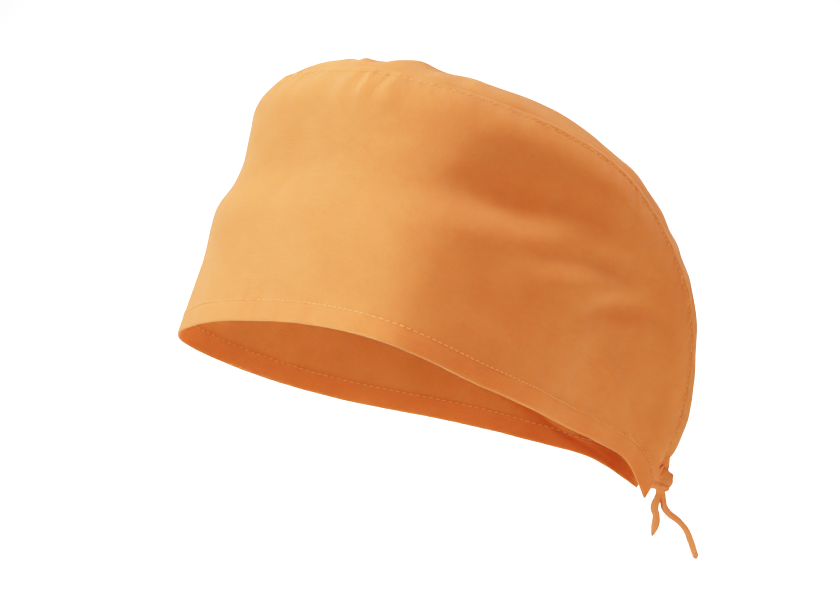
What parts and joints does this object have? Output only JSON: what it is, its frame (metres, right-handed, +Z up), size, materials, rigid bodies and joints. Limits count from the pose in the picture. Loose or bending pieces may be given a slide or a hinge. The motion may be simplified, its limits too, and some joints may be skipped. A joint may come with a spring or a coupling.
{
  "type": "surgical cap",
  "caption": "Tie-back surgical cap of orange woven cloth: a hemmed side band, a teardrop crown panel and ties knotted at the nape, shown in its worn form.",
  "frame": {"origin": "the place inside the crown that rests on top of the head, above the middle of the head opening", "axes": "+Z up as worn, -Y towards the brow, +Y towards the nape, +X towards the wearer's left"},
  "size_m": [0.1542, 0.2073, 0.1952],
  "materials": {
    "cap_cloth": "matt plain-woven cotton blend, orange",
    "tie_cloth": "narrow folded strip of the same orange cloth"
  },
  "bodies": {
    "root": {"side_band": "cap_cloth", "crown_panel": "cap_cloth", "tie_knot": "tie_cloth", "tie_tail_long": "tie_cloth", "tie_tail_short": "tie_cloth"}
  },
  "joints": []
}
